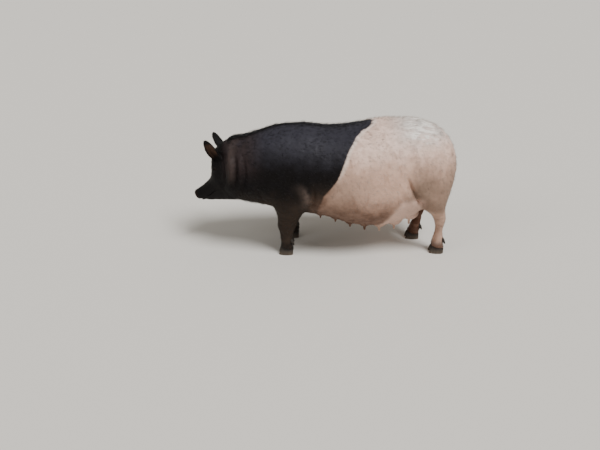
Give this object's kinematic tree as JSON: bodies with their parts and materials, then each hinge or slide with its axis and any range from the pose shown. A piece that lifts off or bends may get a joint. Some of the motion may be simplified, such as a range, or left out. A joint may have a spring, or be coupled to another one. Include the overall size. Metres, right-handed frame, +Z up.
{
  "type": "domestic sow",
  "caption": "Life-size standing domestic sow of the pot-bellied type, dark in front and pale behind, with her head lowered.",
  "frame": {"origin": "on the floor, under the middle of the animal's box", "axes": "+Z up; she faces -X along the length of her body; her left side is towards -Y"},
  "size_m": [1.2546, 0.4618, 0.6406],
  "materials": {
    "dark_skin": "near-black skin with a short dark coat and a dull sheen",
    "pale_skin": "pale grey-pink skin with a sparse pale coat, dusty and dull",
    "snout_skin": "dark bare snout skin, slightly moist",
    "eye": "dark brown wet eye",
    "claw_horn": "grey-brown claw horn, worn dull and dusty",
    "bristle": "stiff grey-brown bristles"
  },
  "bodies": {
    "root": {"torso": "pale_skin", "neck": "dark_skin", "head": "dark_skin", "snout": "snout_skin", "ear_left": "dark_skin", "ear_right": "dark_skin", "eye_left": "eye", "eye_right": "eye", "leg_fore_left": "dark_skin", "leg_fore_right": "dark_skin", "leg_hind_left": "pale_skin", "leg_hind_right": "pale_skin", "claw_fore_left_inner": "claw_horn", "claw_fore_left_outer": "claw_horn", "claw_fore_right_inner": "claw_horn", "claw_fore_right_outer": "claw_horn", "claw_hind_left_inner": "claw_horn", "claw_hind_left_outer": "claw_horn", "claw_hind_right_inner": "claw_horn", "claw_hind_right_outer": "claw_horn", "dewclaw_fore_left_inner": "claw_horn", "dewclaw_fore_left_outer": "claw_horn", "dewclaw_fore_right_inner": "claw_horn", "dewclaw_fore_right_outer": "claw_horn", "dewclaw_hind_left_inner": "claw_horn", "dewclaw_hind_left_outer": "claw_horn", "dewclaw_hind_right_inner": "claw_horn", "dewclaw_hind_right_outer": "claw_horn", "tail": "pale_skin", "tail_tuft": "bristle"}
  },
  "joints": []
}
